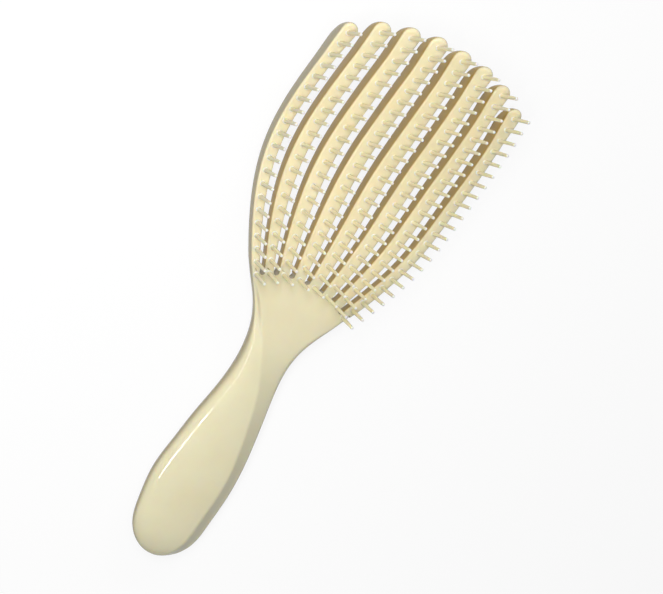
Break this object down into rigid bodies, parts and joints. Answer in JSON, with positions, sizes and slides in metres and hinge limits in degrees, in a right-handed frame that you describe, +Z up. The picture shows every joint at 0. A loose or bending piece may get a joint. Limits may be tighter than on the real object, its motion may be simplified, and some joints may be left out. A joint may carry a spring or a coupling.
{
  "type": "detangling brush",
  "caption": "Flexible vented detangling brush: separate curved ribs with rows of round-tipped pins fan out from a smooth palm on a rounded handle with a twisted ridge.",
  "frame": {"origin": "under the middle of the whole brush, on the surface that it lies on, with the pins up", "axes": "+X across the head, +Y from the handle to the rib tips, +Z up through the pins"},
  "size_m": [0.09, 0.2413, 0.0427],
  "materials": {
    "ivory_plastic": "glossy moulded ivory plastic",
    "pin_plastic": "glossy moulded pale ivory plastic"
  },
  "bodies": {
    "root": {"front_shell": "ivory_plastic", "back_shell": "ivory_plastic", "palm_pins": "pin_plastic"},
    "rib_1_body": {"rib_1": "ivory_plastic", "pins_1": "pin_plastic"},
    "rib_2_body": {"rib_2": "ivory_plastic", "pins_2": "pin_plastic"},
    "rib_3_body": {"rib_3": "ivory_plastic", "pins_3": "pin_plastic"},
    "rib_4_body": {"rib_4": "ivory_plastic", "pins_4": "pin_plastic"},
    "rib_5_body": {"rib_5": "ivory_plastic", "pins_5": "pin_plastic"},
    "rib_6_body": {"rib_6": "ivory_plastic", "pins_6": "pin_plastic"},
    "rib_7_body": {"rib_7": "ivory_plastic", "pins_7": "pin_plastic"},
    "rib_8_body": {"rib_8": "ivory_plastic", "pins_8": "pin_plastic"}
  },
  "joints": [
    {"name": "rib_1_flex", "type": "hinge", "parent": "root", "child": "rib_1_body", "pos_m": [-0.02379, 0.0069, 0.0091], "axis": [1, 0, 0], "range_deg": [-6, 6], "stiffness_Nm_per_rad": 0.6},
    {"name": "rib_2_flex", "type": "hinge", "parent": "root", "child": "rib_2_body", "pos_m": [-0.0185, 0.00969, 0.0091], "axis": [1, 0, 0], "range_deg": [-6, 6], "stiffness_Nm_per_rad": 0.6},
    {"name": "rib_3_flex", "type": "hinge", "parent": "root", "child": "rib_3_body", "pos_m": [-0.01177, 0.01171, 0.0091], "axis": [1, 0, 0], "range_deg": [-6, 6], "stiffness_Nm_per_rad": 0.6},
    {"name": "rib_4_flex", "type": "hinge", "parent": "root", "child": "rib_4_body", "pos_m": [-0.00404, 0.01277, 0.0091], "axis": [1, 0, 0], "range_deg": [-6, 6], "stiffness_Nm_per_rad": 0.6},
    {"name": "rib_5_flex", "type": "hinge", "parent": "root", "child": "rib_5_body", "pos_m": [0.00404, 0.01277, 0.0091], "axis": [1, 0, 0], "range_deg": [-6, 6], "stiffness_Nm_per_rad": 0.6},
    {"name": "rib_6_flex", "type": "hinge", "parent": "root", "child": "rib_6_body", "pos_m": [0.01177, 0.01171, 0.0091], "axis": [1, 0, 0], "range_deg": [-6, 6], "stiffness_Nm_per_rad": 0.6},
    {"name": "rib_7_flex", "type": "hinge", "parent": "root", "child": "rib_7_body", "pos_m": [0.0185, 0.00969, 0.0091], "axis": [1, 0, 0], "range_deg": [-6, 6], "stiffness_Nm_per_rad": 0.6},
    {"name": "rib_8_flex", "type": "hinge", "parent": "root", "child": "rib_8_body", "pos_m": [0.02379, 0.0069, 0.0091], "axis": [1, 0, 0], "range_deg": [-6, 6], "stiffness_Nm_per_rad": 0.6}
  ]
}
